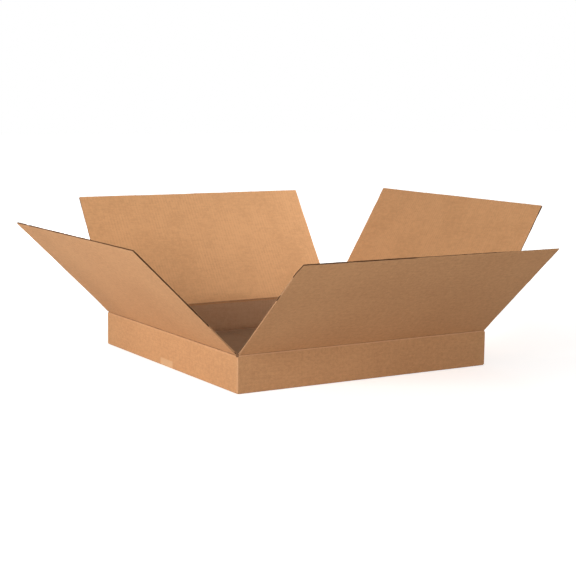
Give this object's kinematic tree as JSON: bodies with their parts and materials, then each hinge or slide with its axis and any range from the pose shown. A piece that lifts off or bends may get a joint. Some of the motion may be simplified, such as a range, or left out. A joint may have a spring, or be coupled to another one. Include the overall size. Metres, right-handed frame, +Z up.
{
  "type": "shallow cardboard box",
  "caption": "Shallow square corrugated cardboard box, open at the top, with hinged top flaps standing outwards and a taped bottom seam.",
  "frame": {"origin": "middle of the base, on the surface that the box stands on", "axes": "+Z up, +X to the right along the front side, +Y towards the back; the bottom seam and its tape run along X"},
  "size_m": [0.8261, 0.8462, 0.2865],
  "materials": {
    "kraft_board": "matte",
    "packing_tape": "satin"
  },
  "bodies": {
    "box": {"box_body": "kraft_board", "bottom_tape": "packing_tape"},
    "front_flap": {"front_flap": "kraft_board"},
    "back_flap": {"back_flap": "kraft_board"},
    "left_flap": {"left_flap": "kraft_board"},
    "right_flap": {"right_flap": "kraft_board"}
  },
  "joints": [
    {"name": "front_flap_fold", "type": "hinge", "parent": "box", "child": "front_flap", "pos_m": [0, -0.2545, 0.0658], "axis": [-1, 0, 0], "range_deg": [-55.6, 138.6]},
    {"name": "back_flap_fold", "type": "hinge", "parent": "box", "child": "back_flap", "pos_m": [0, 0.2545, 0.0658], "axis": [1, 0, 0], "range_deg": [-69.9, 124.3]},
    {"name": "left_flap_fold", "type": "hinge", "parent": "box", "child": "left_flap", "pos_m": [-0.2565, 0, 0.0645], "axis": [0, 1, 0], "range_deg": [-58.6, 135.6]},
    {"name": "right_flap_fold", "type": "hinge", "parent": "box", "child": "right_flap", "pos_m": [0.2565, 0, 0.0645], "axis": [0, -1, 0], "range_deg": [-73.8, 120.4]}
  ]
}
